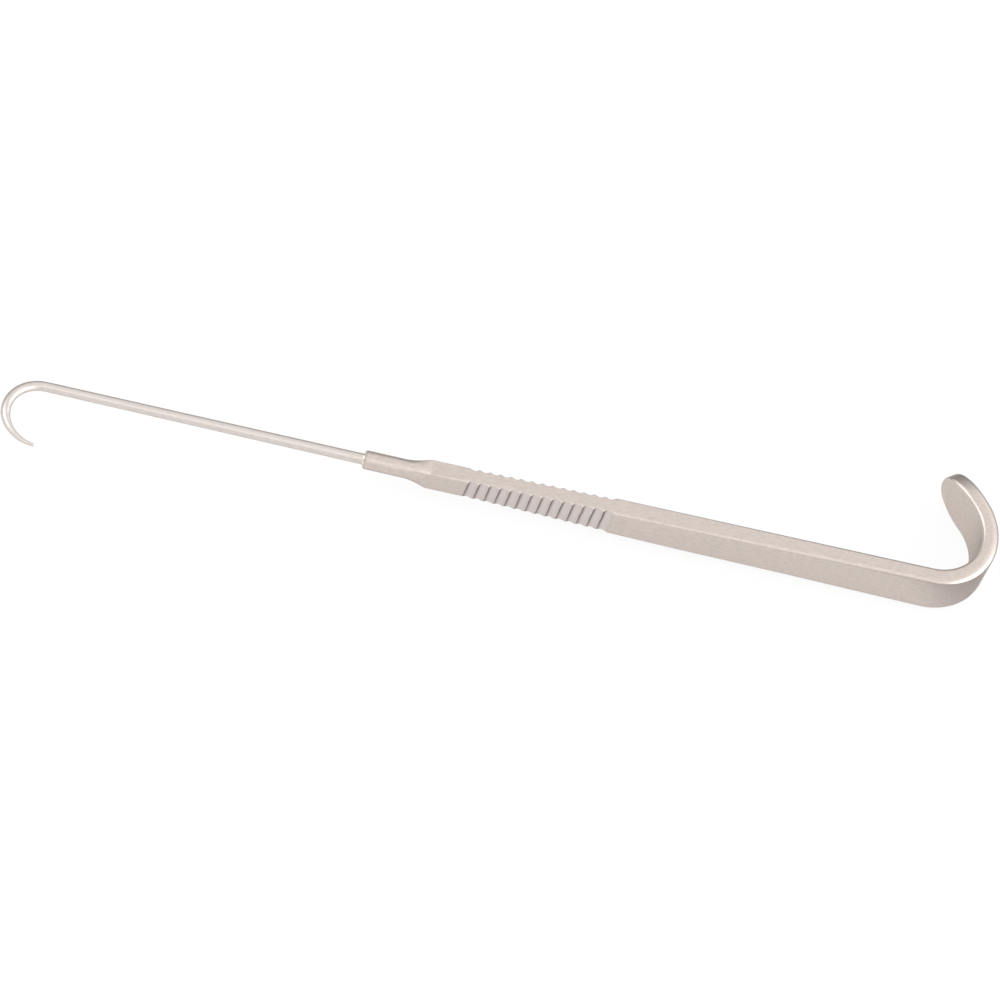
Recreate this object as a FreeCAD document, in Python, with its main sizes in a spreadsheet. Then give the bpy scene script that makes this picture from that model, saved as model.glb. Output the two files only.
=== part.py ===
"""A surgical hook: a forged steel handle with a scalloped grip and a curled leaf end, and a round
hooked shank brazed into its neck. Sizes are in millimetres and angles in degrees.

Frame while modelling: X runs along the handle's axis, from the hook towards the curl, and is 0 at the
mouth of the neck. Z is up, across the handle's wide faces. The hook bends to -Y and the leaf curls to
+Y, both level. At the end every piece is moved so that the origin lies under the middle of the part.
"""
import FreeCAD, Part
import math
import os
import re

import Sketcher
from FreeCAD import Placement, Rotation, Vector

# The driving dimensions: alias, value, what it is
DIMENSIONS = [
    ("shank_length", 52.7, "neck mouth to the start of the hook's bend"),
    ("shank_root_diameter", 1.82, "shank where it enters the neck"),
    ("shank_bend_diameter", 1.62, "shank where the hook's bend starts"),
    ("shank_seat_depth", 8.0, "length of the shank's root inside the neck"),
    ("hook_radius", 5.88, "centre line of the hook"),
    ("hook_sweep", 174.0, "angle that the hook turns through"),
    ("hook_thinning", 80.0, "last part of that angle, along which the hook thins"),
    ("hook_tip_diameter", 0.5, "blunt tip"),
    ("bore_clearance", 0.02, "gap for the braze film, each side of the root"),
    ("neck_diameter", 3.12, "round neck"),
    ("neck_length", 6.6, "round part of the neck"),
    ("neck_chamfer", 0.15, "broken edge at the mouth"),
    ("flat_runout", 0.6, "how far the milled flats run onto the round neck"),
    ("flare_length", 4.2, "from the round neck to the square bar"),
    ("bar_width_start", 4.12, "height of the bar where it starts"),
    ("bar_width_grip", 5.78, "height of the bar at the end of the grip"),
    ("bar_width_bend", 8.1, "height of the bar where the bend starts"),
    ("grip_thickness", 2.98, "thickness over the flats and the ridges of the grip"),
    ("bar_thickness", 3.28, "thickness of the plain bar beside the grip"),
    ("curl_thickness", 2.84, "thickness of the bend and the leaf"),
    ("grip_start", 16.95, "neck mouth to the first ridge"),
    ("scallop_pitch", 1.744, "from ridge to ridge"),
    ("scallop_count", 14, "scallops on each wide face"),
    ("scallop_depth", 0.4, "depth of a scallop under its ridges"),
    ("ridge_land", 0.12, "flat left on each ridge"),
    ("bend_start", 95.1, "neck mouth to the start of the bend"),
    ("tight_radius", 9.12, "centre line of the first part of the bend"),
    ("tight_angle", 63.6, "angle of the first part of the bend"),
    ("open_radius", 10.88, "centre line of the second part of the bend"),
    ("open_angle", 63.6, "angle of the second part of the bend"),
    ("leaf_width", 8.6, "widest place of the leaf"),
    ("leaf_length", 7.8, "straight leaf, from the end of the bend to its tip"),
    ("leaf_shoulder", 1.0, "parallel part of the leaf before its rounded end"),
    ("leaf_tip_radius", 3.4, "rounding of the leaf's tip, seen square to the leaf"),
    ("spread_share", 0.73, "share of the spread from bar to leaf that the first part of the bend takes"),
    ("flare_rounding", 0.1, "long edges where the bar starts"),
    ("grip_rounding", 0.5, "long edges of the grip"),
    ("bar_rounding", 0.55, "long edges of the plain bar"),
    ("bend_rounding", 0.7, "edges round the outside of the bend, at its middle"),
    ("leaf_rounding", 0.6, "edge round the outer face of the leaf"),
    ("inner_rounding", 0.3, "edges round the inside of the bend and of the leaf"),
    ("braze_size", 0.42, "height and length of the braze fillet at the mouth"),
    ("braze_hollow", 0.63, "radius of the braze fillet's hollow face"),
]

# Places worked out from them: alias, formula, what it is
PLACES = [
    ("bar_start", "neck_length + flare_length", "start of the square bar"),
    ("corner_angle", "atan(bar_width_start / neck_diameter)", "where the flare's corners meet the neck"),
    ("grip_end", "grip_start + scallop_pitch * scallop_count", "last ridge"),
    ("grip_widening", "(bar_width_grip - bar_width_start) / (grip_end - bar_start)", "height per length"),
    ("grip_start_width", "bar_width_start + grip_widening * (grip_start - bar_start)", "at first ridge"),
    ("scallop_chord", "scallop_pitch - ridge_land", "opening of one scallop"),
    ("scallop_radius", "(scallop_chord^2 / 4 + scallop_depth^2) / (2 * scallop_depth)", "one scallop"),
    ("curl_half", "curl_thickness / 2", "centre line to each face of the bend"),
    ("bend_angle", "tight_angle + open_angle", "angle that the bar turns through"),
    ("centre_along", "bend_start + (tight_radius - open_radius) * sin(tight_angle)", "open part's centre"),
    ("centre_across", "tight_radius - (tight_radius - open_radius) * cos(tight_angle)", "and sideways"),
    ("leaf_base_along", "centre_along + open_radius * sin(bend_angle)", "end of the bend"),
    ("leaf_base_across", "centre_across - open_radius * cos(bend_angle)", "and sideways"),
    ("middle_along", "bend_start + tight_radius * sin(tight_angle)", "middle of the bend"),
    ("middle_across", "tight_radius * (1 - cos(tight_angle))", "and sideways"),
    ("bend_width", "bar_width_bend + (leaf_width - bar_width_bend) * spread_share", "height there"),
    ("tip_reach", "leaf_length - leaf_shoulder - leaf_tip_radius", "shoulder to the tip's centre"),
    ("tip_narrowing", "leaf_width - 2 * leaf_tip_radius", "shoulder's width less the tip's"),
    ("side_radius", "(tip_reach^2 + leaf_width^2 / 4 - leaf_tip_radius^2) / tip_narrowing", "side arcs"),
    ("side_along", "leaf_tip_radius * tip_reach / (side_radius - leaf_tip_radius)", "tip centre to joint"),
    ("side_share", "(side_radius - leaf_width / 2) / (side_radius - leaf_tip_radius)", "sine at the joint"),
    ("side_across", "leaf_tip_radius * side_share", "height of the joint of side arc and tip arc"),
    ("thin_start", "hook_sweep - hook_thinning", "angle where the hook starts to thin"),
]

# Points closer than this count as one
TOUCHING = 1e-6

doc = FreeCAD.newDocument("surgical_hook")
sheet = doc.addObject("Spreadsheet::Sheet", "Dimensions")
for row, (alias, entry, note) in enumerate(DIMENSIONS + PLACES, start=1):
    sheet.set(f"A{row}", alias)
    sheet.set(f"B{row}", "=" + entry if isinstance(entry, str) else str(entry))
    sheet.set(f"C{row}", note)
    sheet.setAlias(f"B{row}", alias)
doc.recompute()

ALIASES = {entry[0] for entry in DIMENSIONS + PLACES}


def bound(formula):
    """A formula of plain names, written as an expression on the sheet."""
    return re.sub("[a-z_]+", lambda word: ("Dimensions." if word[0] in ALIASES else "") + word[0], formula)


def value_of(formula):
    """The number that a formula gives at the present sizes."""
    return float(sheet.evalExpression(bound(formula)))


def new_body(label):
    """An empty body, named for its piece."""
    body = doc.addObject("PartDesign::Body", label)
    body.Label = label
    return body


def origin_part(body, role):
    """One of a body's own origin planes or axes."""
    return next(feature for feature in body.Origin.OriginFeatures if feature.Role == role)


def sketch_on(body, name, plane, shift=None):
    """An empty sketch on an origin plane of its body, moved along the plane's normal by a formula."""
    sketch = body.newObject("Sketcher::SketchObject", name)
    sketch.AttachmentSupport = [(origin_part(body, plane), "")]
    sketch.MapMode = "FlatFace"
    if shift:
        sketch.setExpression(".AttachmentOffset.Base.z", bound(shift))
    return sketch


def constrain(sketch, formula, *parts):
    """A dimension of a sketch, bound to a formula."""
    number = sketch.addConstraint(Sketcher.Constraint(*parts, value_of(formula)))
    sketch.setExpression(f"Constraints[{number}]", bound(formula))


def arc_between(first, last, radius):
    """An arc of at most half a turn. A positive radius turns left on the way from first to last."""
    half = (last - first) * 0.5
    left = Vector(-half.y, half.x, 0).normalize() * math.copysign(1, radius)
    rise = math.sqrt(max(radius**2 - half.Length**2, 0))
    return Part.Arc(first, first + half + left * (rise - abs(radius)), last)


def draw_outline(sketch, corners, arcs=None):
    """A closed outline with every corner placed by two formulas. A side is straight, or an arc where the
    arcs hold its number, with 1 for a left turn or -1 for a right turn, and the formula of its radius."""
    points = [Vector(value_of(across), value_of(up), 0) for across, up in corners]
    sides = []
    for number, first in enumerate(points):
        last = points[(number + 1) % len(points)]
        if arcs and number in arcs:
            turn, radius = arcs[number]
            curve = sketch.addGeometry(arc_between(first, last, turn * value_of(radius)))
            constrain(sketch, radius, "Radius", curve)
            ends = (1, 2) if turn > 0 else (2, 1)
        else:
            curve = sketch.addGeometry(Part.LineSegment(first, last))
            ends = (1, 2)
        sides.append((curve, ends))
    for number, (curve, ends) in enumerate(sides):
        following, following_ends = sides[(number + 1) % len(sides)]
        joined = Sketcher.Constraint("Coincident", curve, ends[1], following, following_ends[0])
        sketch.addConstraint(joined)
        across, up = corners[number]
        constrain(sketch, across, "DistanceX", -1, 1, curve, ends[0])
        constrain(sketch, up, "DistanceY", -1, 1, curve, ends[0])
    return sketch


def draw_circle(sketch, radius):
    """A circle about the sketch's origin."""
    curve = sketch.addGeometry(Part.Circle(Vector(0, 0, 0), Vector(0, 0, 1), value_of(radius)))
    sketch.addConstraint(Sketcher.Constraint("Coincident", curve, 3, -1, 1))
    constrain(sketch, radius, "Radius", curve)
    return sketch


def feature(body, kind, name, profile, **settings):
    """A feature on a sketch. A text setting is a formula, bound to the sheet, unless it is an option."""
    made = body.newObject("PartDesign::" + kind, name)
    made.Profile = profile
    for setting, entry in settings.items():
        if isinstance(entry, str) and setting not in ("Type", "SideType", "Transformation"):
            made.setExpression(setting, bound(entry))
        else:
            setattr(made, setting, entry)
    doc.recompute()
    return made


def mirrored(body, original):
    """The same cut on the other side of the level plane through the axis."""
    copy = body.newObject("PartDesign::Mirrored", original.Name + "Below")
    copy.Originals = [original]
    copy.MirrorPlane = (origin_part(body, "XY_Plane"), [""])
    body.Tip = copy
    doc.recompute()
    return copy


def edges_where(shape, wanted):
    """Names of the edges that a test picks."""
    return [f"Edge{number}" for number, edge in enumerate(shape.Edges, start=1) if wanted(edge)]


def station(body, name, along, across, angle):
    """A sketch on an upright plane at a place beside the axis, turned by an angle."""
    sketch = sketch_on(body, name, "YZ_Plane", along)
    sketch.AttachmentOffset = Placement(Vector(0, 0, 0), Rotation(Vector(0, 1, 0), value_of(angle)))
    sketch.setExpression(".AttachmentOffset.Base.x", bound(across))
    sketch.setExpression(".AttachmentOffset.Rotation.Angle", bound(angle))
    return sketch


def draw_section(sketch, thickness, width, outer, inner):
    """The bar cut across: a rectangle with one radius for its edges on the hook's side, one for the
    others."""
    deep, high = f"({thickness}) / 2", f"({width}) / 2"
    return draw_outline(
        sketch,
        [
            (deep, f"{inner} - {high}"),
            (deep, f"{high} - {inner}"),
            (f"{deep} - {inner}", high),
            (f"{outer} - {deep}", high),
            (f"-{deep}", f"{high} - {outer}"),
            (f"-{deep}", f"{outer} - {high}"),
            (f"{outer} - {deep}", f"-{high}"),
            (f"{deep} - {inner}", f"-{high}"),
        ],
        {1: (1, inner), 3: (1, outer), 5: (1, outer), 7: (1, inner)},
    )


def rounded(body, name, base, edges, radius):
    """A fillet on named edges."""
    fillet = body.newObject("PartDesign::Fillet", name)
    fillet.Base = (base, edges)
    fillet.setExpression("Radius", bound(radius))
    doc.recompute()
    return fillet


def add_leaf(body):
    """The flat leaf at the end of the bend, with a rounded end."""
    leaf = sketch_on(body, "LeafOutline", "XZ_Plane")
    leaf.AttachmentOffset = Placement(Vector(0, 0, 0), Rotation(Vector(0, 1, 0), value_of("bend_angle")))
    leaf.setExpression(".AttachmentOffset.Rotation.Angle", bound("bend_angle"))
    leaf.setExpression(".AttachmentOffset.Base.x", bound("leaf_base_along"))
    leaf.setExpression(".AttachmentOffset.Base.z", bound("-leaf_base_across"))
    joint = "leaf_length - leaf_tip_radius + side_along"
    draw_outline(
        leaf,
        [
            ("0", "-leaf_width / 2"),
            ("leaf_shoulder", "-leaf_width / 2"),
            (joint, "-side_across"),
            (joint, "side_across"),
            ("leaf_shoulder", "leaf_width / 2"),
            ("0", "leaf_width / 2"),
        ],
        {1: (1, "side_radius"), 2: (1, "leaf_tip_radius"), 3: (1, "side_radius")},
    )
    plate = feature(body, "Pad", "Leaf", leaf, SideType="Symmetric", Length="curl_thickness")

    angle = math.radians(value_of("bend_angle"))
    base = Vector(value_of("leaf_base_along"), value_of("leaf_base_across"), 0)
    ahead = Vector(math.cos(angle), math.sin(angle), 0)
    inwards = Vector(-math.sin(angle), math.cos(angle), 0)

    def rim_at(shape, depth):
        """The edges round the face at that depth, without the one at the bend."""
        return edges_where(
            shape,
            lambda edge: (edge.CenterOfMass - base) * ahead > TOUCHING
            and all(abs((vertex.Point - base) * inwards - depth) < TOUCHING for vertex in edge.Vertexes),
        )

    half = value_of("curl_half")
    outer = rounded(body, "LeafOuterEdge", plate, rim_at(plate.Shape, -half), "leaf_rounding")
    rounded(body, "LeafInnerEdge", outer, rim_at(outer.Shape, half), "inner_rounding")


def add_plain_bar(body):
    """The straight bar between the grip and the bend, tapering towards the grip."""
    plan = sketch_on(body, "BarPlan", "XY_Plane")
    draw_outline(
        plan,
        [
            ("grip_end", "-bar_thickness / 2"),
            ("bend_start", "-curl_half"),
            ("bend_start", "curl_half"),
            ("grip_end", "bar_thickness / 2"),
        ],
    )
    feature(body, "Pad", "Bar", plan, SideType="Symmetric", Length="bar_width_bend")
    taper = sketch_on(body, "TaperSide", "XZ_Plane")
    draw_outline(
        taper,
        [
            ("grip_end", "bar_width_grip / 2"),
            ("bend_start", "bar_width_bend / 2"),
            ("bend_start", "bar_width_bend"),
            ("grip_end", "bar_width_bend"),
        ],
    )
    cut = feature(body, "Pocket", "Taper", taper, SideType="Symmetric", Length="bar_thickness * 2")
    tapered = mirrored(body, cut)
    bar_length = value_of("bend_start - grip_end")
    long_edges = edges_where(tapered.Shape, lambda edge: edge.BoundBox.XLength > bar_length / 2)
    rounded(body, "BarEdges", tapered, long_edges, "bar_rounding")


def add_bend(body):
    """The bend, swept along two arcs from the bar's section to the leaf's."""
    path = sketch_on(body, "BendPath", "XY_Plane")
    start, middle = ("bend_start", "0"), ("middle_along", "middle_across")
    places = [start, middle, ("leaf_base_along", "leaf_base_across")]
    points = [Vector(value_of(along), value_of(across), 0) for along, across in places]
    for number, radius in enumerate(("tight_radius", "open_radius")):
        curve = path.addGeometry(arc_between(points[number], points[number + 1], value_of(radius)))
        constrain(path, radius, "Radius", curve)
        for end in (0, 1):
            along, across = places[number + end]
            constrain(path, along, "DistanceX", -1, 1, curve, end + 1)
            constrain(path, across, "DistanceY", -1, 1, curve, end + 1)
    sections = [
        draw_section(station(body, name, *place, angle), "curl_thickness", width, outer, inner)
        for name, place, angle, width, outer, inner in (
            ("BendFirst", places[0], "0", "bar_width_bend", "bar_rounding", "bar_rounding"),
            ("BendMiddle", places[1], "tight_angle", "bend_width", "bend_rounding", "inner_rounding"),
            ("BendLast", places[2], "bend_angle", "leaf_width", "leaf_rounding", "inner_rounding"),
        )
    ]
    feature(body, "AdditivePipe", "Bend", sections[0], Spine=(path, ["Edge1", "Edge2"]),
            Sections=[(section, [""]) for section in sections[1:]], Transformation="Multisection")


def add_grip_bar(body):
    """The thinner bar of the grip, from the flare to the last ridge."""
    sections = [
        draw_section(sketch_on(body, name, "YZ_Plane", along), "grip_thickness", width, edge, edge)
        for name, along, width, edge in (
            ("GripFlare", "bar_start", "bar_width_start", "flare_rounding"),
            ("GripFirst", "grip_start", "grip_start_width", "grip_rounding"),
            ("GripLast", "grip_end", "bar_width_grip", "grip_rounding"),
        )
    ]
    feature(body, "AdditiveLoft", "GripBar", sections[0], Ruled=True,
            Sections=[(section, [""]) for section in sections[1:]])


def make_handle():
    """One forging: the leaf and the plain bar, the bend between them, the grip and the neck."""
    body = new_body("handle")
    add_leaf(body)
    add_plain_bar(body)
    add_bend(body)
    add_grip_bar(body)

    # The flare: a square end that runs into the round neck
    square = sketch_on(body, "FlareSquare", "YZ_Plane", "bar_start")
    draw_outline(
        square,
        [
            ("neck_diameter / 2", "bar_width_start / 2"),
            ("-neck_diameter / 2", "bar_width_start / 2"),
            ("-neck_diameter / 2", "-bar_width_start / 2"),
            ("neck_diameter / 2", "-bar_width_start / 2"),
        ],
    )
    circle = sketch_on(body, "FlareRound", "YZ_Plane", "neck_length")
    side, top = "neck_diameter / 2 * cos(corner_angle)", "neck_diameter / 2 * sin(corner_angle)"
    draw_outline(
        circle,
        [(side, top), ("-" + side, top), ("-" + side, "-" + top), (side, "-" + top)],
        {number: (1, "neck_diameter / 2") for number in range(4)},
    )
    feature(body, "AdditiveLoft", "Flare", square, Sections=[(circle, [""])], Ruled=True)
    neck = draw_circle(sketch_on(body, "NeckRound", "YZ_Plane"), "neck_diameter / 2")
    feature(body, "Pad", "Neck", neck, Length="neck_length")

    # The milled flats, which run out on the round neck
    flats = sketch_on(body, "FlatsPlan", "XY_Plane")
    for side in ("-", ""):
        draw_outline(
            flats,
            [
                ("neck_length - flat_runout", side + "neck_diameter / 2"),
                ("bar_start", side + "grip_thickness / 2"),
                ("bar_start", side + "neck_diameter"),
                ("neck_length - flat_runout", side + "neck_diameter"),
            ],
        )
    feature(body, "Pocket", "Flats", flats, SideType="Symmetric", Length="leaf_width")

    # The blind bore for the shank's root, and the broken edge at its mouth
    mouth = sketch_on(body, "BoreRound", "YZ_Plane")
    bore = draw_circle(mouth, "shank_root_diameter / 2 + bore_clearance")
    drilled = feature(body, "Pocket", "Bore", bore, Length="shank_seat_depth", Reversed=True)
    neck_radius = value_of("neck_diameter / 2")
    rim = edges_where(
        drilled.Shape,
        lambda edge: edge.BoundBox.XMax < TOUCHING and abs(edge.BoundBox.ZMax - neck_radius) < TOUCHING,
    )
    broken = body.newObject("PartDesign::Chamfer", "BrokenEdge")
    broken.Base = (drilled, rim)
    broken.setExpression("Size", bound("neck_chamfer"))
    doc.recompute()

    # The grip: scallops that meet in narrow ridges, on both wide faces
    scallop = sketch_on(body, "ScallopPlan", "XY_Plane")
    first, last = "grip_start + ridge_land / 2", "grip_start + scallop_pitch - ridge_land / 2"
    for side, turn in (("-", -1), ("", 1)):
        draw_outline(
            scallop,
            [
                (first, side + "grip_thickness / 2"),
                (last, side + "grip_thickness / 2"),
                (last, side + "bar_thickness"),
                (first, side + "bar_thickness"),
            ],
            {0: (turn, "scallop_radius")},
        )
    cut = feature(body, "Pocket", "Scallop", scallop, SideType="Symmetric", Length="leaf_width")
    grip = body.newObject("PartDesign::LinearPattern", "Grip")
    grip.Originals = [cut]
    grip.Direction = (origin_part(body, "X_Axis"), [""])
    grip.setExpression("Length", bound("scallop_pitch * (scallop_count - 1)"))
    grip.setExpression("Occurrences", bound("scallop_count"))
    body.Tip = grip
    doc.recompute()
    return body


def hook_place(angle):
    """Formulas for a place on the hook's centre line, that many degrees round its bend."""
    return f"-shank_length - hook_radius * sin({angle})", f"-hook_radius * (1 - cos({angle}))"


def make_hook_shank():
    """A turned rod with a straight root and a slight taper, bent to a hook whose end is drawn out thin."""
    body = new_body("hook_shank")
    rod = sketch_on(body, "RodSide", "XZ_Plane")
    draw_outline(
        rod,
        [
            ("shank_seat_depth", "0"),
            ("shank_seat_depth", "shank_root_diameter / 2"),
            ("-braze_size", "shank_root_diameter / 2"),
            ("-shank_length", "shank_bend_diameter / 2"),
            ("-shank_length", "0"),
        ],
    )
    feature(body, "Revolution", "Rod", rod, ReferenceAxis=(rod, ["H_Axis"]), Angle=360)

    # The first part of the hook keeps the rod's thickness
    bend_start = sketch_on(body, "BendRound", "YZ_Plane", "-shank_length")
    section = draw_circle(bend_start, "shank_bend_diameter / 2")
    pivot = section.addGeometry(Part.LineSegment(Vector(-1, -1, 0), Vector(-1, 1, 0)), True)
    section.addConstraint(Sketcher.Constraint("Symmetric", pivot, 1, pivot, 2, -1))
    constrain(section, "-hook_radius", "DistanceX", -1, 1, pivot, 1)
    constrain(section, "hook_radius", "DistanceY", pivot, 1, pivot, 2)
    feature(body, "Revolution", "Bend", section, ReferenceAxis=(section, ["Axis0"]), Angle="thin_start")

    # The rest of the hook thins to its tip
    first, last = hook_place("thin_start"), hook_place("hook_sweep")
    thick = draw_circle(station(body, "ThinningStart", *first, "thin_start"), "shank_bend_diameter / 2")
    thin = draw_circle(station(body, "ThinningEnd", *last, "hook_sweep"), "hook_tip_diameter / 2")
    path = sketch_on(body, "ThinningPath", "XY_Plane")
    points = [Vector(value_of(along), value_of(across), 0) for along, across in (first, last)]
    curve = path.addGeometry(arc_between(*points, value_of("hook_radius")))
    constrain(path, "hook_radius", "Radius", curve)
    for end, (along, across) in enumerate((first, last), start=1):
        constrain(path, along, "DistanceX", -1, 1, curve, end)
        constrain(path, across, "DistanceY", -1, 1, curve, end)
    feature(body, "AdditivePipe", "Thinning", thick, Spine=(path, ["Edge1"]), Sections=[(thin, [""])],
            Transformation="Multisection")

    # The blunt tip
    tip = body.newObject("PartDesign::AdditiveSphere", "Tip")
    tip.AttachmentSupport = [(origin_part(body, "XY_Plane"), "")]
    tip.MapMode = "FlatFace"
    along, across = hook_place("hook_sweep")
    tip.setExpression(".AttachmentOffset.Base.x", bound(along))
    tip.setExpression(".AttachmentOffset.Base.y", bound(across))
    tip.setExpression("Radius", bound("hook_tip_diameter / 2"))
    doc.recompute()
    return body


def make_braze_fillet():
    """A ring with a hollow face, in the corner between the shank and the mouth of the neck."""
    body = new_body("braze_fillet")
    ring = sketch_on(body, "RingSide", "XZ_Plane")
    draw_outline(
        ring,
        [
            ("0", "shank_root_diameter / 2"),
            ("0", "shank_root_diameter / 2 + braze_size"),
            ("-braze_size", "shank_root_diameter / 2"),
        ],
        {1: (1, "braze_hollow")},
    )
    feature(body, "Revolution", "Ring", ring, ReferenceAxis=(ring, ["H_Axis"]), Angle=360)
    return body


def stand_over_origin(bodies):
    """Moves the pieces so that the origin lies under the middle of the whole part, at its lowest height."""
    boxes = [body.Shape.optimalBoundingBox() for body in bodies]
    whole = boxes[0]
    for box in boxes[1:]:
        whole.add(box)
    for body in bodies:
        body.Placement = Placement(Vector(-whole.Center.x, -whole.Center.y, -whole.ZMin), Rotation())
    print("moved by", round(-whole.Center.x, 4), round(-whole.Center.y, 4), round(-whole.ZMin, 4))


pieces = [make_handle(), make_hook_shank(), make_braze_fillet()]
stand_over_origin(pieces)
doc.recompute()
for made in doc.Objects:
    faults = [state for state in made.State if state in ("Invalid", "Error")]
    if faults:
        raise RuntimeError(f"{made.Name} did not build: {faults}")
for piece in pieces:
    shape = piece.Shape
    if shape.isNull() or not shape.isValid() or len(shape.Solids) != 1:
        raise RuntimeError(f"{piece.Label} is not one valid solid")
    print(piece.Label, "volume", round(shape.Volume, 2))

os.makedirs("parts", exist_ok=True)
for piece in pieces:
    piece.Shape.exportStep(f"parts/{piece.Label}.step")
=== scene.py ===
# %% [markdown]
# Surgical hook
#
# This lesson dresses a finished CAD part for a picture. The part is a hand instrument of stainless steel:
# a flat forged handle with a scalloped grip and a curled leaf at one end, and a thin round shank with a
# hook at the other. The CAD pieces arrive as a fixed frame. The lesson gives each one a finer skin on the
# same main sizes, with softer edges and a satin finish, and then sets up the floor, the light and the
# camera.

# %% Load the frame
import math

import bpy
import numpy as np
from mathutils import Matrix, Vector


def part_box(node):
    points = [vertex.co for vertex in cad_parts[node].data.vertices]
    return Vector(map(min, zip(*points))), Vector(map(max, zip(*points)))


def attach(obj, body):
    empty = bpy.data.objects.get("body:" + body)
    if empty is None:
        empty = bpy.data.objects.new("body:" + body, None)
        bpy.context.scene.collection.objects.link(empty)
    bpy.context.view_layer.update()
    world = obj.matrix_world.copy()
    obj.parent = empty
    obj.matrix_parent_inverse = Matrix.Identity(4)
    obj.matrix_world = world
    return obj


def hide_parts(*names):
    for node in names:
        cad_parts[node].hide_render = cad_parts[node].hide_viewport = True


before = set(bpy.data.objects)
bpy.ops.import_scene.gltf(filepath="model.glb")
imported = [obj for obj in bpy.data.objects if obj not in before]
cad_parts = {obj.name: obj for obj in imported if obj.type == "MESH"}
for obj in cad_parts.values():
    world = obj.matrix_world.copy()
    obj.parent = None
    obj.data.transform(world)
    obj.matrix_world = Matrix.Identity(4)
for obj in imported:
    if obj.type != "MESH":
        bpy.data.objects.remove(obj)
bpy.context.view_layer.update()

handle_low, handle_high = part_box("handle")

# %% [markdown]
# Lengths on an instrument this small are easier to read in millimetres, so the shapes are worked out in
# millimetres in a frame of their own and turned to metres once, at the end. That frame starts where the
# shank enters the neck, on the axis of the handle: X runs along the handle towards the curl, the wide
# faces of the bar look along Y, and Z is up.

# %% Sizes of the handle
MM = 0.001

NECK_RADIUS = 1.56
NECK_LENGTH = 6.6
NECK_CHAMFER = 0.15
BORE_RADIUS = 0.93
BORE_DEPTH = 8.0
FLATS_START = 6.0
FLARE_END = 10.8

BAR_HALF_WIDTH_START = 2.06
BAR_HALF_WIDTH_GRIP = 2.89
BAR_HALF_WIDTH_BEND = 4.05
BEND_HALF_WIDTH_MIDDLE = 4.2325
GRIP_HALF_THICKNESS = 1.49
BAR_HALF_THICKNESS = 1.64
CURL_HALF_THICKNESS = 1.42

GRIP_START = 16.95
SCALLOP_PITCH = 1.744
SCALLOP_COUNT = 14
SCALLOP_DEPTH = 0.4
RIDGE_LAND = 0.12
GRIP_END = GRIP_START + SCALLOP_PITCH * SCALLOP_COUNT

BEND_START = 95.1
TIGHT_RADIUS = 9.12
TIGHT_ANGLE = math.radians(63.6)
OPEN_RADIUS = 10.88
OPEN_ANGLE = math.radians(63.6)

LEAF_HALF_WIDTH = 4.3
LEAF_LENGTH = 7.8
LEAF_SHOULDER = 1.0
LEAF_TIP_RADIUS = 3.4

# The axis is half a bar's thickness behind the front face, and halfway up the leaf
MOUTH = np.array(
    [
        handle_low.x / MM,
        handle_low.y / MM + BAR_HALF_THICKNESS,
        (handle_low.z + handle_high.z) / 2 / MM,
    ]
)
print("neck mouth at", MOUTH.round(3), "mm; grip ends", round(GRIP_END, 2), "mm from it")

# %% [markdown]
# The handle is one bar, bent at its end. A point on it is easiest to give as a distance along the bent
# centre line, a depth to one side, and a height. The function below turns the first into a place and a
# direction: a straight run, a tight arc, a wider arc and the straight leaf.

# %% The centre line of the handle
TIGHT_END = BEND_START + TIGHT_RADIUS * TIGHT_ANGLE
OPEN_END = TIGHT_END + OPEN_RADIUS * OPEN_ANGLE
LEAF_END = OPEN_END + LEAF_LENGTH


def centre_line(along):
    """The place and the turned angle of the centre line at a distance from the neck's mouth."""
    if along <= BEND_START:
        return np.array([along, 0.0]), 0.0
    turned = min((along - BEND_START) / TIGHT_RADIUS, TIGHT_ANGLE)
    place = np.array([BEND_START + TIGHT_RADIUS * math.sin(turned), TIGHT_RADIUS * (1 - math.cos(turned))])
    if along <= TIGHT_END:
        return place, turned
    pivot = place + OPEN_RADIUS * np.array([-math.sin(turned), math.cos(turned)])
    turned = TIGHT_ANGLE + min((along - TIGHT_END) / OPEN_RADIUS, OPEN_ANGLE)
    place = pivot + OPEN_RADIUS * np.array([math.sin(turned), -math.cos(turned)])
    beyond = max(along - OPEN_END, 0.0)
    return place + beyond * np.array([math.cos(turned), math.sin(turned)]), turned


print("length along the centre line", round(LEAF_END, 2), "mm")

# %% [markdown]
# The bar's size changes along it: it tapers towards the neck, thins a little towards the curl, and spreads
# into the leaf. Its long edges are rounded, lightly along the grip and more around the outside of the
# curl. A rounded edge is a quarter of an ellipse, with a height on the wide face and a depth on the narrow
# one. Both were judged from the highlights in the photograph. The depth stays under half the bar's
# thickness, or the edge would fold over.

# %% Sizes along the handle
def along_line(table):
    """A function that joins (distance, value) pairs by straight lines."""
    distances, values = zip(*table)
    return lambda along: float(np.interp(along, distances, values))


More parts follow.
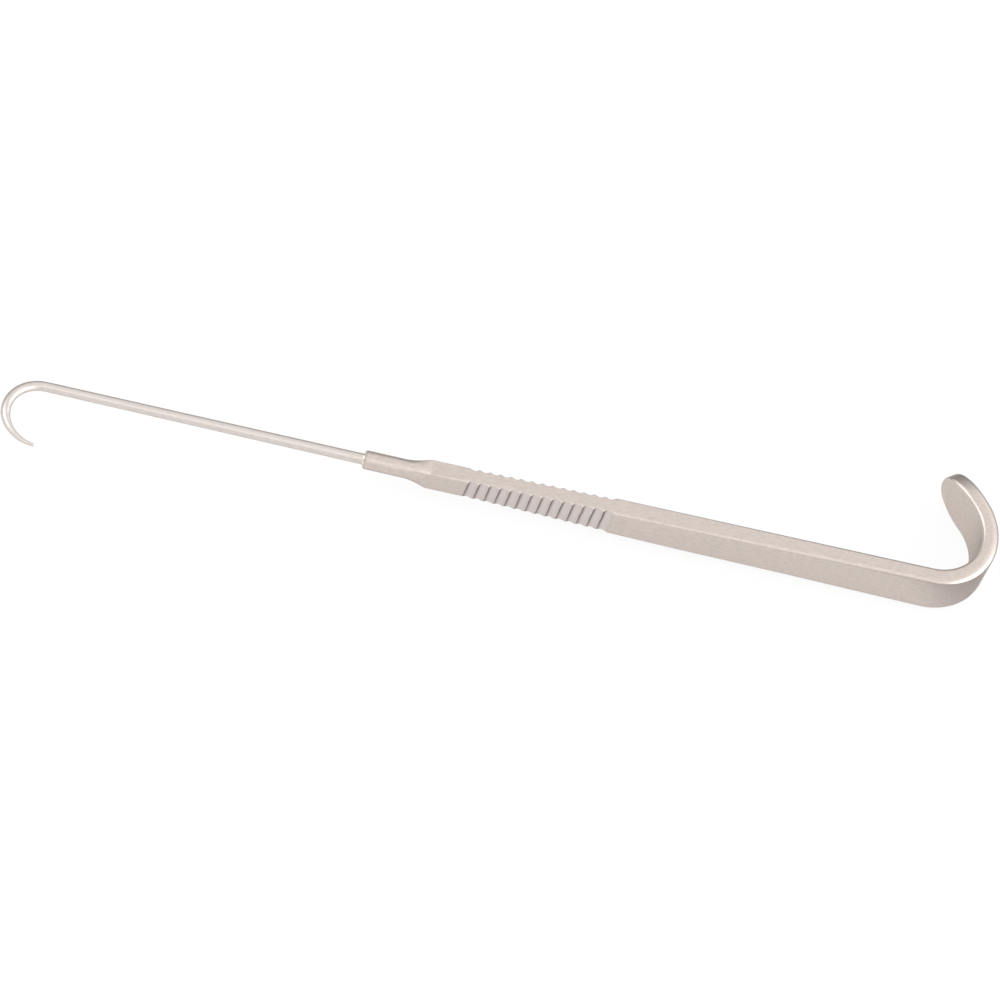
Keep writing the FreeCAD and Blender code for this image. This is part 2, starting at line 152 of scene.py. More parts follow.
half_thickness = along_line(
    [
        (GRIP_END, GRIP_HALF_THICKNESS),
        (GRIP_END + 0.15, BAR_HALF_THICKNESS),
        (BEND_START, CURL_HALF_THICKNESS),
    ]
)
half_width = along_line(
    [
        (FLARE_END, BAR_HALF_WIDTH_START),
        (GRIP_END, BAR_HALF_WIDTH_GRIP),
        (BEND_START, BAR_HALF_WIDTH_BEND),
        (TIGHT_END, BEND_HALF_WIDTH_MIDDLE),
        (OPEN_END, LEAF_HALF_WIDTH),
    ]
)
outer_edge_height = along_line(
    [
        (FLARE_END, 0.12),
        (GRIP_START, 0.45),
        (GRIP_END + 12, 0.35),
        (GRIP_END + 30, 0.6),
        (BEND_START, 0.65),
        (TIGHT_END, 0.9),
        (OPEN_END, 0.75),
        (LEAF_END, 0.6),
    ]
)
outer_edge_depth = along_line(
    [
        (FLARE_END, 0.12),
        (GRIP_START, 0.7),
        (GRIP_END + 12, 0.7),
        (GRIP_END + 30, 1.2),
        (BEND_START, 1.3),
        (TIGHT_END, 1.36),
        (OPEN_END, 1.32),
        (LEAF_END, 1.0),
    ]
)
inner_edge_height = along_line(
    [
        (FLARE_END, 0.12),
        (GRIP_START, 0.3),
        (GRIP_END, 0.3),
        (BEND_START, 0.5),
        (TIGHT_END, 0.45),
        (LEAF_END, 0.45),
    ]
)
inner_edge_depth = along_line(
    [
        (FLARE_END, 0.12),
        (GRIP_START, 0.3),
        (GRIP_END, 0.3),
        (BEND_START, 0.8),
        (TIGHT_END, 0.6),
        (LEAF_END, 0.6),
    ]
)


# %% [markdown]
# The leaf ends in a round tip: two long arcs from the shoulders, joined by a smaller one. The
# rounded edge follows that outline at an even distance, so a point is placed by how far inside the outline
# it lies.

# %% The rounded end of the leaf
TIP_CENTRE = LEAF_LENGTH - LEAF_TIP_RADIUS
TIP_REACH = TIP_CENTRE - LEAF_SHOULDER
SPREAD = LEAF_HALF_WIDTH - LEAF_TIP_RADIUS
SIDE_RADIUS = (TIP_REACH**2 + LEAF_HALF_WIDTH**2 - LEAF_TIP_RADIUS**2) / (2 * SPREAD)
JOINT_SHARE = TIP_REACH / (SIDE_RADIUS - LEAF_TIP_RADIUS)


def height_inside(along, inside):
    """The height of the point of a section that lies a given distance inside the outline."""
    on_leaf = along - OPEN_END
    if on_leaf <= LEAF_SHOULDER:
        return half_width(along) - inside
    tip_radius = LEAF_TIP_RADIUS - inside
    if on_leaf < TIP_CENTRE + JOINT_SHARE * tip_radius:
        centre_height = LEAF_HALF_WIDTH - SIDE_RADIUS
        return centre_height + math.sqrt((SIDE_RADIUS - inside) ** 2 - (on_leaf - LEAF_SHOULDER) ** 2)
    return math.sqrt(max(tip_radius**2 - (on_leaf - TIP_CENTRE) ** 2, 0.0))


def deepest_inside(along):
    """How far inside the outline the middle of a section lies."""
    return LEAF_TIP_RADIUS - max(along - OPEN_END - TIP_CENTRE, 0.0)


print("side arc of the leaf", round(SIDE_RADIUS, 2), "mm")

# %% [markdown]
# One section through the bar is a loop of points. The loop is made of four like quarters, each with a
# stretch of the wide face, the rounded edge and a stretch of the narrow face. Every section has the same
# number of points in each stretch, so that the loops can be joined into a skin with clean rows of faces.

# %% One section of the bar
FACE_STEPS = 13
EDGE_STEPS = 8
RIM_STEPS = 5
QUARTERS = [(-1, 1), (1, 1), (1, -1), (-1, -1)]


def quarter_of_bar(along, edge_height, edge_depth):
    """Depth and height of a quarter's points, from the middle of the wide face to that of the narrow one."""
    thickness = half_thickness(along)
    reach = min(edge_height, deepest_inside(along))
    face_top = height_inside(along, reach)
    face = [(thickness, share * face_top) for share in np.linspace(0, 1, FACE_STEPS + 1)[:-1]]
    edge = []
    for angle in np.linspace(0, math.pi / 2, EDGE_STEPS + 1):
        inside = reach * (1 - math.sin(angle))
        roundness = math.sqrt(max(1 - (1 - inside / edge_height) ** 2, 0.0))
        edge.append((thickness - edge_depth * (1 - roundness), height_inside(along, inside)))
    if reach < edge_height:
        face = [(edge[0][0], height) for _, height in face]
    rim_height = height_inside(along, 0.0)
    rim = [(share * edge[-1][0], rim_height) for share in np.linspace(1, 0, RIM_STEPS + 1)[1:]]
    return np.array(face + edge + rim)


CORNER_ANGLE = math.atan(BAR_HALF_WIDTH_START / NECK_RADIUS)
EDGE_SPREAD = 0.06


def quarter_of_circle(radius):
    """The same stretches, bent onto a circle."""
    angles = np.concatenate(
        [
            np.linspace(0, CORNER_ANGLE - EDGE_SPREAD, FACE_STEPS + 1)[:-1],
            np.linspace(CORNER_ANGLE - EDGE_SPREAD, CORNER_ANGLE + EDGE_SPREAD, EDGE_STEPS + 1),
            np.linspace(CORNER_ANGLE + EDGE_SPREAD, math.pi / 2, RIM_STEPS + 1)[1:],
        ]
    )
    return radius * np.column_stack([np.cos(angles), np.sin(angles)])


def loop_of(outer_quarter, inner_quarter):
    """Four quarters as one loop: front up, back up, back down, front down, each shared point once."""
    loop = []
    for number, (side, up) in enumerate(QUARTERS):
        quarter = (outer_quarter if side < 0 else inner_quarter) * [side, up]
        ordered = quarter if number % 2 == 0 else quarter[::-1]
        loop.append(ordered[:-1])
    return np.concatenate(loop)


print("points in a loop:", len(loop_of(quarter_of_circle(1.0), quarter_of_circle(1.0))))

# %% [markdown]
# Between the round neck and the bar the forging flares out, and two flats are milled across it that run
# out on the neck. The flare blends a circle into the bar's first section. The blend starts slowly, which
# leaves the flare a little hollow, and the flats simply stop any point that stands further out than they
# do.

# %% One section anywhere on the handle
FLARE_HOLLOW = 1.6
flat_depth = along_line([(FLATS_START, NECK_RADIUS), (FLARE_END, GRIP_HALF_THICKNESS)])


def section(along):
    """The loop of depths and heights at a distance from the neck's mouth."""
    if along <= NECK_LENGTH:
        loop = loop_of(quarter_of_circle(NECK_RADIUS), quarter_of_circle(NECK_RADIUS))
    else:
        start = max(along, FLARE_END)
        loop = loop_of(
            quarter_of_bar(start, outer_edge_height(start), outer_edge_depth(start)),
            quarter_of_bar(start, inner_edge_height(start), inner_edge_depth(start)),
        )
    if NECK_LENGTH < along < FLARE_END:
        share = ((along - NECK_LENGTH) / (FLARE_END - NECK_LENGTH)) ** FLARE_HOLLOW
        square = loop * [NECK_RADIUS / GRIP_HALF_THICKNESS, 1]
        circle = loop_of(quarter_of_circle(NECK_RADIUS), quarter_of_circle(NECK_RADIUS))
        loop = circle + share * (square - circle)
    if FLATS_START < along < FLARE_END:
        loop[:, 0] = np.clip(loop[:, 0], -flat_depth(along), flat_depth(along))
    return loop


# %% [markdown]
# The skin is the row of all loops. Loops stand close together where the form changes quickly, as along the
# grip and in the bend, and further apart on the plain bar. The first loops line the blind bore that the
# shank sits in, and the last one closes on the tip of the leaf.

# %% The blank of the handle
LOOPS_PER_SCALLOP = 20


def stations():
    """Distances along the centre line at which the handle gets a loop."""
    tip_angles = np.linspace(math.asin(JOINT_SHARE), math.pi / 2, 30)
    return np.concatenate(
        [
            np.linspace(NECK_CHAMFER, FLATS_START, 12),
            np.linspace(FLATS_START, FLARE_END, 60)[1:],
            np.linspace(FLARE_END, GRIP_START, 24)[1:],
            np.linspace(GRIP_START, GRIP_END, SCALLOP_COUNT * LOOPS_PER_SCALLOP + 1)[1:],
            GRIP_END + np.array([0.05, 0.1, 0.15, 0.25, 0.5, 1.0]),
            np.linspace(GRIP_END + 2, BEND_START, 40),
            np.linspace(BEND_START, OPEN_END, 110)[1:],
            np.linspace(OPEN_END, OPEN_END + TIP_CENTRE + JOINT_SHARE * LEAF_TIP_RADIUS, 24)[1:-1],
            OPEN_END + TIP_CENTRE + LEAF_TIP_RADIUS * np.sin(tip_angles),
        ]
    )


def bore_loops():
    """The bore from its bottom to the mouth, and the broken edge of the neck."""
    rings = [
        (BORE_DEPTH, 0.02),
        (BORE_DEPTH, BORE_RADIUS),
        (0.0, BORE_RADIUS),
        (0.0, NECK_RADIUS - NECK_CHAMFER),
    ]
    for along, radius in rings:
        ring = loop_of(quarter_of_circle(radius), quarter_of_circle(radius))
        yield np.column_stack([np.full(len(ring), along), ring[:, 0], ring[:, 1]])


def bar_loops():
    """The outside of the handle, from the neck to the tip of the leaf."""
    for along in stations():
        loop = section(along)
        place, turned = centre_line(along)
        across = np.array([-math.sin(turned), math.cos(turned)])
        plan = place + loop[:, :1] * across
        yield np.column_stack([plan, loop[:, 1]])


def skin(loops, name):
    """A closed mesh, in metres, through a row of loops with equal numbers of points."""
    points = np.array(list(loops))
    rows, count = points.shape[:2]
    places = (points.reshape(-1, 3) + MOUTH) * MM
    faces = []
    for row in range(rows - 1):
        for step in range(count):
            following = (step + 1) % count
            faces.append(
                (
                    row * count + step,
                    row * count + following,
                    (row + 1) * count + following,
                    (row + 1) * count + step,
                )
            )
    faces.append(tuple(range(count))[::-1])
    mesh = bpy.data.meshes.new(name)
    mesh.from_pydata(places.tolist(), [], faces)
    return mesh


def tidy_mesh(mesh, sharp_angle):
    """Merges doubled points, turns the faces outwards and shades them smooth up to an angle."""
    import bmesh

    work = bmesh.new()
    work.from_mesh(mesh)
    bmesh.ops.remove_doubles(work, verts=work.verts, dist=2e-6)
    bmesh.ops.dissolve_degenerate(work, edges=work.edges, dist=1e-7)
    bmesh.ops.recalc_face_normals(work, faces=work.faces)
    for face in work.faces:
        face.smooth = True
    work.to_mesh(mesh)
    work.free()
    mesh.set_sharp_from_angle(angle=math.radians(sharp_angle))
    return mesh


def new_piece(name, mesh):
    """An object at the origin for a mesh whose points are in place."""
    piece = bpy.data.objects.new(name, mesh)
    bpy.context.scene.collection.objects.link(piece)
    return piece


blank = new_piece("handle_blank", skin([*bore_loops(), *bar_loops()], "handle_blank"))
print("blank of the handle:", len(blank.data.polygons), "faces")

# %% [markdown]
# Every material starts from the real one. A small function adds a node with its settings and links, and
# another turns a colour as it is picked on a screen into the linear light that the renderer adds up.

# %% Colour and node helpers
def srgb(code):
    """A linear colour from a hex code."""
    channels = [int(code[place : place + 2], 16) / 255 for place in (1, 3, 5)]
    return (*[c / 12.92 if c <= 0.04045 else ((c + 0.055) / 1.055) ** 2.4 for c in channels], 1.0)


def add_node(tree, kind, settings=None, **inputs):
    """A node with its settings, and its inputs set to values or linked to other sockets."""
    node = tree.nodes.new(kind)
    for name, entry in (settings or {}).items():
        setattr(node, name, entry)
    for name, entry in inputs.items():
        socket = node.inputs[int(name[1:])] if name[0] == "_" else node.inputs[name.replace("_", " ")]
        if isinstance(entry, bpy.types.NodeSocket):
            tree.links.new(entry, socket)
        else:
            socket.default_value = entry
    return node


def new_material(name):
    """An empty material with its tree and its output node."""
    material = bpy.data.materials.new(name)
    material.use_nodes = True
    tree = material.node_tree
    tree.nodes.clear()
    return material, tree, tree.nodes.new("ShaderNodeOutputMaterial")


# %% [markdown]
# The handle is forged stainless steel, ground and then given a satin finish with a fine abrasive, so that
# it doesn't dazzle under a theatre lamp. A satin finish is a mass of tiny scratches along the bar: it
# spreads each reflection into a broad sheen, and close to, it shows as a fine grain. The filed scallops
# have a cooler, paler tone. In the photograph each has a dark stripe at one side, which is probably a
# reflection. The light here doesn't give it, so that flank is painted darker.

# %% Satin steel of the handle
SPECKLE_ALONG = 1200.0
SPECKLE_ACROSS = 3500.0
SCRATCH_STRETCH = 8
SCRATCH_DEPTH = 0.02 * MM
SCRATCH_STRENGTH = 0.35
# The dark tone painted as shade on one flank of each scallop
PAINTED_FLANK_SHADE = "#80766F"
RIM_TINT = (0.6, 0.58, 0.57, 1.0)


def grain(tree, place, scale_along, scale_across, detail):
    """A noise that is drawn out along the handle. The scales are in grains for each metre."""
    scale = (scale_along, scale_across, scale_across)
    stretched = add_node(tree, "ShaderNodeMapping", Vector=place, Scale=scale).outputs["Vector"]
    noise = add_node(tree, "ShaderNodeTexNoise", Vector=stretched, Scale=1.0, Detail=detail, Roughness=0.6)
    return noise.outputs["Fac"]


def between(tree, share, low, high):
    """A number that runs from low to high as a share runs from 0 to 1."""
    node = add_node(tree, "ShaderNodeMapRange", _0=share, _1=0.0, _2=1.0, _3=low, _4=high)
    return node.outputs["Result"]


def blend_colours(tree, share, first, second):
    """A colour between two others, each a socket or a value."""
    node = add_node(tree, "ShaderNodeMix", {"data_type": "RGBA"}, _0=share, _6=first, _7=second)
    return node.outputs[2]


def satin_steel(name, ground, filed, scratches_per_metre, roughness_low, roughness_high):
    """Satin stainless steel, with a second tone where it is filed and a painted dark shade on the flanks."""
    material, tree, output = new_material(name)
    place = add_node(tree, "ShaderNodeTexCoord").outputs["Object"]
    scratches = grain(tree, place, scratches_per_metre / SCRATCH_STRETCH, scratches_per_metre, 3.0)
    clouds = grain(tree, place, SPECKLE_ALONG, SPECKLE_ACROSS, 2.0)
    speckle = add_node(tree, "ShaderNodeMapRange", _0=clouds, _1=0.3, _2=0.7).outputs["Result"]
    cut = add_node(tree, "ShaderNodeAttribute", {"attribute_name": "filed"}).outputs["Fac"]
    flank_shade = add_node(tree, "ShaderNodeAttribute", {"attribute_name": "flank_shade"}).outputs["Fac"]
    plain = blend_colours(tree, speckle, srgb(ground[0]), srgb(ground[1]))
    tone = blend_colours(tree, cut, plain, srgb(filed))
    tone = blend_colours(tree, flank_shade, tone, srgb(PAINTED_FLANK_SHADE))
    bump = add_node(
        tree, "ShaderNodeBump", Strength=SCRATCH_STRENGTH, Distance=SCRATCH_DEPTH, Height=scratches
    )
    shader = add_node(
        tree,
        "ShaderNodeBsdfPrincipled",
        Base_Color=tone,
        Metallic=1.0,
        Roughness=between(tree, scratches, roughness_low, roughness_high),
        Normal=bump.outputs["Normal"],
        Specular_Tint=RIM_TINT,
    )
    tree.links.new(shader.outputs["BSDF"], output.inputs["Surface"])
    return material


# The scratches are drawn 0.2 mm apart, wider than a real satin finish has them, so that they show
forged_satin = satin_steel("satin_ground_steel", ("#C7BCB5", "#D6CBC4"), "#D3CAC7", 5000.0, 0.25, 0.35)
print("material of the handle:", forged_satin.name)

# %% [markdown]
# The scallops of the grip repeat along both wide faces, so a Geometry Nodes tree files them into the
# blank. For every point it works out how deep the round file has gone at that distance along the handle,
# and moves the point in to that depth if it stands further out. A smooth minimum leaves the ridges
# slightly blunt, and a little noise makes them waver as hand filing does. The tree also marks the filed
# places, and the flank towards the neck on which the material paints a dark shade.

# %% Geometry Nodes: file the scallops
WAVER_GRAINS = 450.0
FILED_DEPTH = 0.06 * MM
FLANK_END = -0.1


def add_input(tree, name, value):
    """A named number on the tree's modifier."""
    socket = tree.interface.new_socket(name, in_out="INPUT", socket_type="NodeSocketFloat")
    socket.default_value = value
    return socket.identifier


def math_node(tree, operation, *entries):
    """One step of arithmetic."""
    return add_node(
        tree, "ShaderNodeMath", {"operation": operation}, **{f"_{n}": e for n, e in enumerate(entries)}
    ).outputs[0]


def scallop_tree(material):
    """The tree that files round scallops into the two wide faces of a bar along X."""
    tree = bpy.data.node_groups.new("file_scallops", "GeometryNodeTree")
    tree.interface.new_socket("Geometry", in_out="INPUT", socket_type="NodeSocketGeometry")
    tree.interface.new_socket("Geometry", in_out="OUTPUT", socket_type="NodeSocketGeometry")
    names = ("First Ridge", "Pitch", "Count", "Depth", "Land", "Face Depth", "Axis Y", "Blunting", "Waver")
    for name in names:
        add_input(tree, name, 0.0)
    given = add_node(tree, "NodeGroupInput").outputs
    position = add_node(tree, "GeometryNodeInputPosition").outputs[0]
    parts = add_node(tree, "ShaderNodeSeparateXYZ", _0=position).outputs

    # The waver: a slow noise over the face shifts the file along the handle
    noise = add_node(tree, "ShaderNodeTexNoise", Vector=position, Scale=WAVER_GRAINS, Detail=1.0)
    centred = math_node(tree, "SUBTRACT", noise.outputs["Fac"], 0.5)
    shift = math_node(tree, "MULTIPLY", centred, given["Waver"])
    along = math_node(tree, "SUBTRACT", math_node(tree, "ADD", parts["X"], shift), given["First Ridge"])

    # How far a point is from the middle of its scallop, and whether it is on the grip at all
    cell = math_node(tree, "DIVIDE", along, given["Pitch"])
    number = math_node(tree, "FLOOR", cell)
    share = math_node(tree, "SUBTRACT", math_node(tree, "SUBTRACT", cell, number), 0.5)
    from_middle = math_node(tree, "MULTIPLY", share, given["Pitch"])
    after_start = math_node(tree, "GREATER_THAN", number, -0.5)
    before_end = math_node(tree, "LESS_THAN", number, math_node(tree, "SUBTRACT", given["Count"], 0.5))
    on_grip = math_node(tree, "MULTIPLY", after_start, before_end)

    # The file's radius from the chord and the depth, and the cut at this point
    half_chord = math_node(tree, "MULTIPLY", math_node(tree, "SUBTRACT", given["Pitch"], given["Land"]), 0.5)
    squares = math_node(
        tree,
        "ADD",
        math_node(tree, "MULTIPLY", half_chord, half_chord),
        math_node(tree, "MULTIPLY", given["Depth"], given["Depth"]),
    )
    radius = math_node(tree, "DIVIDE", squares, math_node(tree, "MULTIPLY", given["Depth"], 2.0))
    under_root = math_node(
        tree,
        "SUBTRACT",
        math_node(tree, "MULTIPLY", radius, radius),
        math_node(tree, "MULTIPLY", from_middle, from_middle),
    )
    rise = math_node(tree, "SQRT", math_node(tree, "MAXIMUM", under_root, 0.0))
    cut = math_node(tree, "SUBTRACT", rise, math_node(tree, "SUBTRACT", radius, given["Depth"]))
    cut = math_node(tree, "MULTIPLY", math_node(tree, "MAXIMUM", cut, 0.0), on_grip)
    limit = math_node(tree, "SUBTRACT", given["Face Depth"], cut)

    # Move the point in, and keep its side
    sideways = math_node(tree, "SUBTRACT", parts["Y"], given["Axis Y"])
    depth = math_node(tree, "ABSOLUTE", sideways)
    filed_depth = math_node(tree, "SMOOTH_MIN", depth, limit, given["Blunting"])
    kept_depth = math_node(tree, "ADD", depth, math_node(
        tree, "MULTIPLY", math_node(tree, "SUBTRACT", filed_depth, depth), on_grip
    ))
    signed = math_node(tree, "MULTIPLY", kept_depth, math_node(tree, "SIGN", sideways))
    new_y = math_node(tree, "ADD", signed, given["Axis Y"])
    place = add_node(tree, "ShaderNodeCombineXYZ", X=parts["X"], Y=new_y, Z=parts["Z"]).outputs[0]

    removed = math_node(tree, "SUBTRACT", depth, kept_depth)
    mark = math_node(tree, "MINIMUM", math_node(tree, "DIVIDE", removed, FILED_DEPTH), 1.0)
    marked = add_node(
        tree,
        "GeometryNodeStoreNamedAttribute",
        {"data_type": "FLOAT", "domain": "POINT"},
        Geometry=given["Geometry"],
        Name="filed",
        Value=mark,
    )

    # The flank towards the neck, from the ridge to a little before the middle of the scallop, for the
    # painted shade
    near_side = add_node(
        tree, "ShaderNodeMapRange", _0=share, _1=-0.5, _2=FLANK_END, _3=1.0, _4=0.0
    ).outputs["Result"]
    flanked = add_node(
        tree,
        "GeometryNodeStoreNamedAttribute",
        {"data_type": "FLOAT", "domain": "POINT"},
        Geometry=marked.outputs[0],
        Name="flank_shade",
        Value=math_node(tree, "MULTIPLY", near_side, mark),
    )
    moved = add_node(tree, "GeometryNodeSetPosition", Geometry=flanked.outputs[0], Position=place)
    real = add_node(tree, "GeometryNodeRealizeInstances", Geometry=moved.outputs[0])
    finished = add_node(tree, "GeometryNodeSetMaterial", Geometry=real.outputs[0], Material=material)
    add_node(tree, "NodeGroupOutput", Geometry=finished.outputs[0])
    return tree


def run_tree(source, tree, values, name):
    """Runs a tree on an object with named inputs, and returns the result as a new plain piece."""
    modifier = source.modifiers.new("tree", "NODES")
    modifier.node_group = tree
    sockets = {item.name: item.identifier for item in tree.interface.items_tree if item.in_out == "INPUT"}
    for entry, value in values.items():
        modifier[sockets[entry]] = value
    depsgraph = bpy.context.evaluated_depsgraph_get()
    mesh = bpy.data.meshes.new_from_object(source.evaluated_get(depsgraph), depsgraph=depsgraph)
    mesh.name = name
    source.modifiers.remove(modifier)
    bpy.data.objects.remove(source)
    return new_piece(name, mesh)


handle = run_tree(
    blank,
    scallop_tree(forged_satin),
    {
        "First Ridge": (MOUTH[0] + GRIP_START) * MM,
        "Pitch": SCALLOP_PITCH * MM,
        "Count": float(SCALLOP_COUNT),
        "Depth": SCALLOP_DEPTH * MM,
        "Land": RIDGE_LAND * MM,
        "Face Depth": GRIP_HALF_THICKNESS * MM,
        "Axis Y": MOUTH[1] * MM,
        "Blunting": 0.025 * MM,
        "Waver": 0.12 * MM,
    },
    "handle_skin",
)
tidy_mesh(handle.data, 32)
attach(handle, "root")
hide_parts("handle")
print("handle:", len(handle.data.polygons), "faces; CAD box", handle_low, handle_high)

# %% [markdown]
# The shank is drawn stainless rod, bent round a former and ground to a blunt point. Its form is a
# thickness that changes along a path, and that is what a curve in Geometry Nodes does best: the path is a
# row of points, the tree works out the radius from the distance along it, and a circle is swept along the
# path at that radius.

# %% Path of the hook shank
SHANK_ROOT_RADIUS = 0.91
SHANK_BEND_RADIUS = 0.81
SHANK_LENGTH = 52.7
HOOK_RADIUS = 5.88
HOOK_SWEEP = math.radians(174)
THINNING_SWEEP = math.radians(80)
TIP_RADIUS = 0.25
BRAZE_SIZE = 0.42


def hook_path():
    """Points from the end of the root, inside the neck, to the tip of the hook."""
    straight = [(along, 0.0) for along in np.linspace(BORE_DEPTH, -SHANK_LENGTH, 24)]
    turns = np.linspace(0, HOOK_SWEEP, 120)[1:]
    bend = [(-SHANK_LENGTH - HOOK_RADIUS * math.sin(t), -HOOK_RADIUS * (1 - math.cos(t))) for t in turns]
    ahead = np.array([-math.cos(HOOK_SWEEP), -math.sin(HOOK_SWEEP)])
    steps = TIP_RADIUS * np.sin(np.linspace(0, math.pi / 2, 9)[1:])
    tip = [tuple(np.array(bend[-1]) + ahead * step) for step in steps]
    return np.array([(x, y, 0.0) for x, y in [*straight, *bend, *tip]])


path_points = (hook_path() + MOUTH) * MM
path_mesh = bpy.data.meshes.new("hook_path")
path_mesh.from_pydata(path_points.tolist(), [(n, n + 1) for n in range(len(path_points) - 1)], [])
path = new_piece("hook_path", path_mesh)
path_length = float(np.linalg.norm(np.diff(path_points, axis=0), axis=1).sum())
print("path of the shank:", len(path_points), "points,", round(path_length / MM, 2), "mm long")

# %% [markdown]
# The rod is drawn and polished along its length, so its scratches are finer and it is a little brighter
# than the handle. The braze is a silver alloy: it runs into the corner while liquid and sets with a
# smooth, faintly warm surface.

# %% Materials of the shank and the braze
drawn_satin = satin_steel("drawn_polished_steel", ("#D0C7C1", "#DBD3CE"), "#D6D1CE", 7000.0, 0.25, 0.35)
silver_braze = satin_steel("silver_braze_alloy", ("#DAD3C4", "#E2DCD0"), "#E2DCD0", 3000.0, 0.2, 0.3)
print("materials:", drawn_satin.name, silver_braze.name)

# %% Geometry Nodes: sweep the shank
def shank_tree(material):
    """The tree that sweeps a circle along the path, with a radius that falls slowly and then to the tip."""
    tree = bpy.data.node_groups.new("sweep_shank", "GeometryNodeTree")
    tree.interface.new_socket("Geometry", in_out="INPUT", socket_type="NodeSocketGeometry")
    tree.interface.new_socket("Geometry", in_out="OUTPUT", socket_type="NodeSocketGeometry")
    radii = ("Root Radius", "Bend Radius", "Tip Radius")
    places = ("Taper Start", "Taper End", "Thinning Start", "Thinning End")
    for name in (*radii, *places):
        add_input(tree, name, 0.0)
    given = add_node(tree, "NodeGroupInput").outputs
    curve = add_node(tree, "GeometryNodeMeshToCurve", Mesh=given["Geometry"]).outputs[0]
    length = add_node(tree, "GeometryNodeSplineParameter").outputs["Length"]
    rod = add_node(
        tree,
        "ShaderNodeMapRange",
        _0=length,
        _1=given["Taper Start"],
        _2=given["Taper End"],
        _3=given["Root Radius"],
        _4=given["Bend Radius"],
    ).outputs[0]
    thinned = add_node(
        tree,
        "ShaderNodeMapRange",
        _0=length,
        _1=given["Thinning Start"],
        _2=given["Thinning End"],
        _3=0.0,
        _4=math_node(tree, "SUBTRACT", given["Bend Radius"], given["Tip Radius"]),
    ).outputs[0]
    body = math_node(tree, "SUBTRACT", rod, thinned)

    # Past the end of the thinning the radius follows a half ball
    past = math_node(tree, "MAXIMUM", math_node(tree, "SUBTRACT", length, given["Thinning End"]), 0.0)
    tip_square = math_node(tree, "MULTIPLY", given["Tip Radius"], given["Tip Radius"])
    left = math_node(tree, "SUBTRACT", tip_square, math_node(tree, "MULTIPLY", past, past))
    ball = math_node(tree, "SQRT", math_node(tree, "MAXIMUM", left, 1e-12))
    on_ball = math_node(tree, "GREATER_THAN", past, 1e-7)
    radius = add_node(tree, "ShaderNodeMix", {"data_type": "FLOAT"}, _0=on_ball, _2=body, _3=ball).outputs[0]
    circle = add_node(tree, "GeometryNodeCurvePrimitiveCircle", Resolution=48, Radius=1.0).outputs[0]
    sweep = add_node(tree, "GeometryNodeCurveToMesh", Curve=curve, Profile_Curve=circle)
    sweep.inputs["Fill Caps"].default_value = True
    tree.links.new(radius, sweep.inputs["Scale"])
    real = add_node(tree, "GeometryNodeRealizeInstances", Geometry=sweep.outputs[0])
    finished = add_node(tree, "GeometryNodeSetMaterial", Geometry=real.outputs[0], Material=material)
    add_node(tree, "NodeGroupOutput", Geometry=finished.outputs[0])
    return tree


root_length = BORE_DEPTH + BRAZE_SIZE
bend_place = BORE_DEPTH + SHANK_LENGTH
shank = run_tree(
    path,
    shank_tree(drawn_satin),
    {
        "Root Radius": SHANK_ROOT_RADIUS * MM,
        "Bend Radius": SHANK_BEND_RADIUS * MM,
        "Tip Radius": TIP_RADIUS * MM,
        "Taper Start": root_length * MM,
        "Taper End": bend_place * MM,
        "Thinning Start": (bend_place + HOOK_RADIUS * (HOOK_SWEEP - THINNING_SWEEP)) * MM,
        "Thinning End": path_length - TIP_RADIUS * MM,
    },
    "hook_shank_skin",
)
tidy_mesh(shank.data, 40)
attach(shank, "root")
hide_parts("hook_shank")
print("hook shank:", len(shank.data.polygons), "faces")

# %% [markdown]
# The braze is a ring with a hollow face, so it is a turned form: an outline carried round the axis. A row
# of loops does that with the same skin function as the handle.

# %% The braze fillet
BRAZE_HOLLOW = 0.63


def braze_mesh():
    """The ring in the corner between the shank and the mouth of the neck."""
    first = np.array([0.0, SHANK_ROOT_RADIUS + BRAZE_SIZE])
    last = np.array([-BRAZE_SIZE, SHANK_ROOT_RADIUS])
    middle = (first + last) / 2
    span = last - first
    outward = np.array([span[1], -span[0]]) / np.linalg.norm(span)
    outward = outward if outward[1] > 0 else -outward
    centre = middle + outward * math.sqrt(BRAZE_HOLLOW**2 - span @ span / 4)
    start = math.atan2(*(first - centre)[::-1])
    end = math.atan2(*(last - centre)[::-1])
    end += 2 * math.pi * round((start - end) / (2 * math.pi))
    turns = np.linspace(start, end, 12)
    face = [centre + BRAZE_HOLLOW * np.array([math.cos(a), math.sin(a)]) for a in turns]
    outline = [np.array([0.0, SHANK_ROOT_RADIUS]), *face]
    angles = np.linspace(0, 2 * math.pi, 73)[:-1]
    around = np.column_stack([np.cos(angles), np.sin(angles)])
    rings = [[(x, *(radius * a)) for a in around] for x, radius in [*outline, outline[0]]]
    points = (np.array(rings).reshape(-1, 3) + MOUTH) * MM
    count = len(around)
    faces = [
        (row * count + step, row * count + (step + 1) % count,
         (row + 1) * count + (step + 1) % count, (row + 1) * count + step)
        for row in range(len(rings) - 1)
        for step in range(count)
    ]
    mesh = bpy.data.meshes.new("braze_fillet_skin")
    mesh.from_pydata(points.tolist(), [], faces)
    return mesh


braze = new_piece("braze_fillet_skin", tidy_mesh(braze_mesh(), 40))
braze.data.materials.append(silver_braze)
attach(braze, "root")
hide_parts("braze_fillet")
print("braze fillet:", len(braze.data.polygons), "faces")

# %% [markdown]
# The photograph's ground is plain white with hardly a shadow. The floor is a large pale sheet. The camera
# sees it as an even white in which a little of its real shading stays, so that the object still rests on
# something. In the steel's reflections the sheet falls into shade to the right and behind. The photograph
# shows no sheet, so where that shade lies and how deep it is were set by trial, until the bend and the tip
# of the leaf had about their tones.

# %% Floor
SHADE_RIGHT = ((1.0, -1.0, 0.0), 0.079, 0.097, 0.4)
SHADE_BEHIND = ((0.0, 1.0, 0.0), 0.02, 0.05, 0.2)
WHITE_FOR_CAMERA = 0.88
WHITE_FOR_STEEL = 0.75


